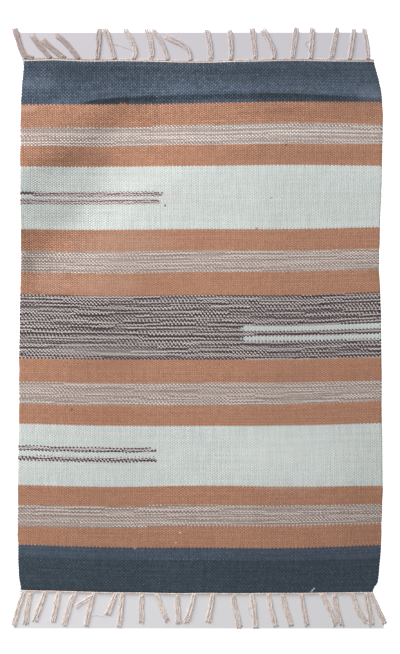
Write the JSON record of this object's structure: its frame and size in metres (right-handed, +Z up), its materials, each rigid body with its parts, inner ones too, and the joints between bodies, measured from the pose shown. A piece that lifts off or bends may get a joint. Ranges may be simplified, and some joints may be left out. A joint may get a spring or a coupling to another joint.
{
  "type": "kilim rug",
  "caption": "Flat-woven cotton floor rug with cross stripes, a narrow cream heading and knotted tassels at both ends, lying flat with a few shallow folds.",
  "frame": {"origin": "on the floor, under the middle of the whole rug with its tassels", "axes": "+X across the rug to the right as seen from the near end, +Y along the rug to the far end, +Z up from the floor"},
  "size_m": [0.6264, 1.0076, 0.0079],
  "materials": {
    "striped_weave": "matte weft-faced plain weave of soft multi-strand cotton in clay, mint, slate blue and marled cream bands",
    "cream_cotton": "matte undyed twisted cotton yarn"
  },
  "bodies": {
    "root": {"woven_field": "striped_weave", "far_fringe": "cream_cotton", "near_fringe": "cream_cotton"}
  },
  "joints": []
}
